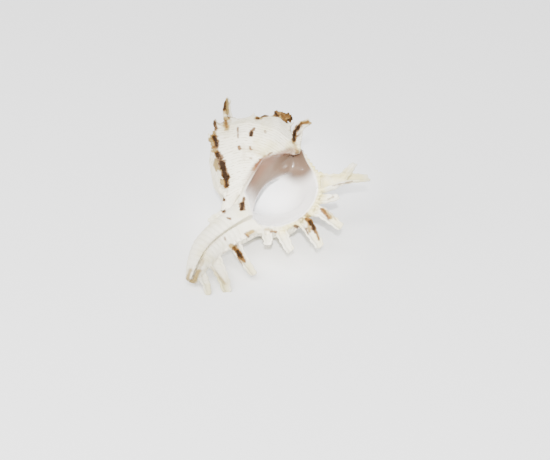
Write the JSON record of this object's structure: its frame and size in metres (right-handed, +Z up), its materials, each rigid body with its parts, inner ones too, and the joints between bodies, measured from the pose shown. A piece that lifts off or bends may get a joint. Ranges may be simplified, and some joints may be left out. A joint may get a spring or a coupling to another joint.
{
  "type": "murex shell",
  "caption": "Spiny sea snail shell with a coiled whorl, a wide glazed mouth, a long slotted canal and branched hollow spines, lying on its back.",
  "frame": {"origin": "on the surface that the shell lies on, under the middle of its box", "axes": "+Z up, out of the mouth's side; +Y along the shell towards its apex; +X towards the lip's spines"},
  "size_m": [0.067, 0.0928, 0.0489],
  "materials": {
    "shell_lime": "chalky white lime with tan threads and dark brown blotches outside, glossy white glaze with a pink edge inside the mouth"
  },
  "bodies": {
    "root": {"shell": "shell_lime"}
  },
  "joints": []
}
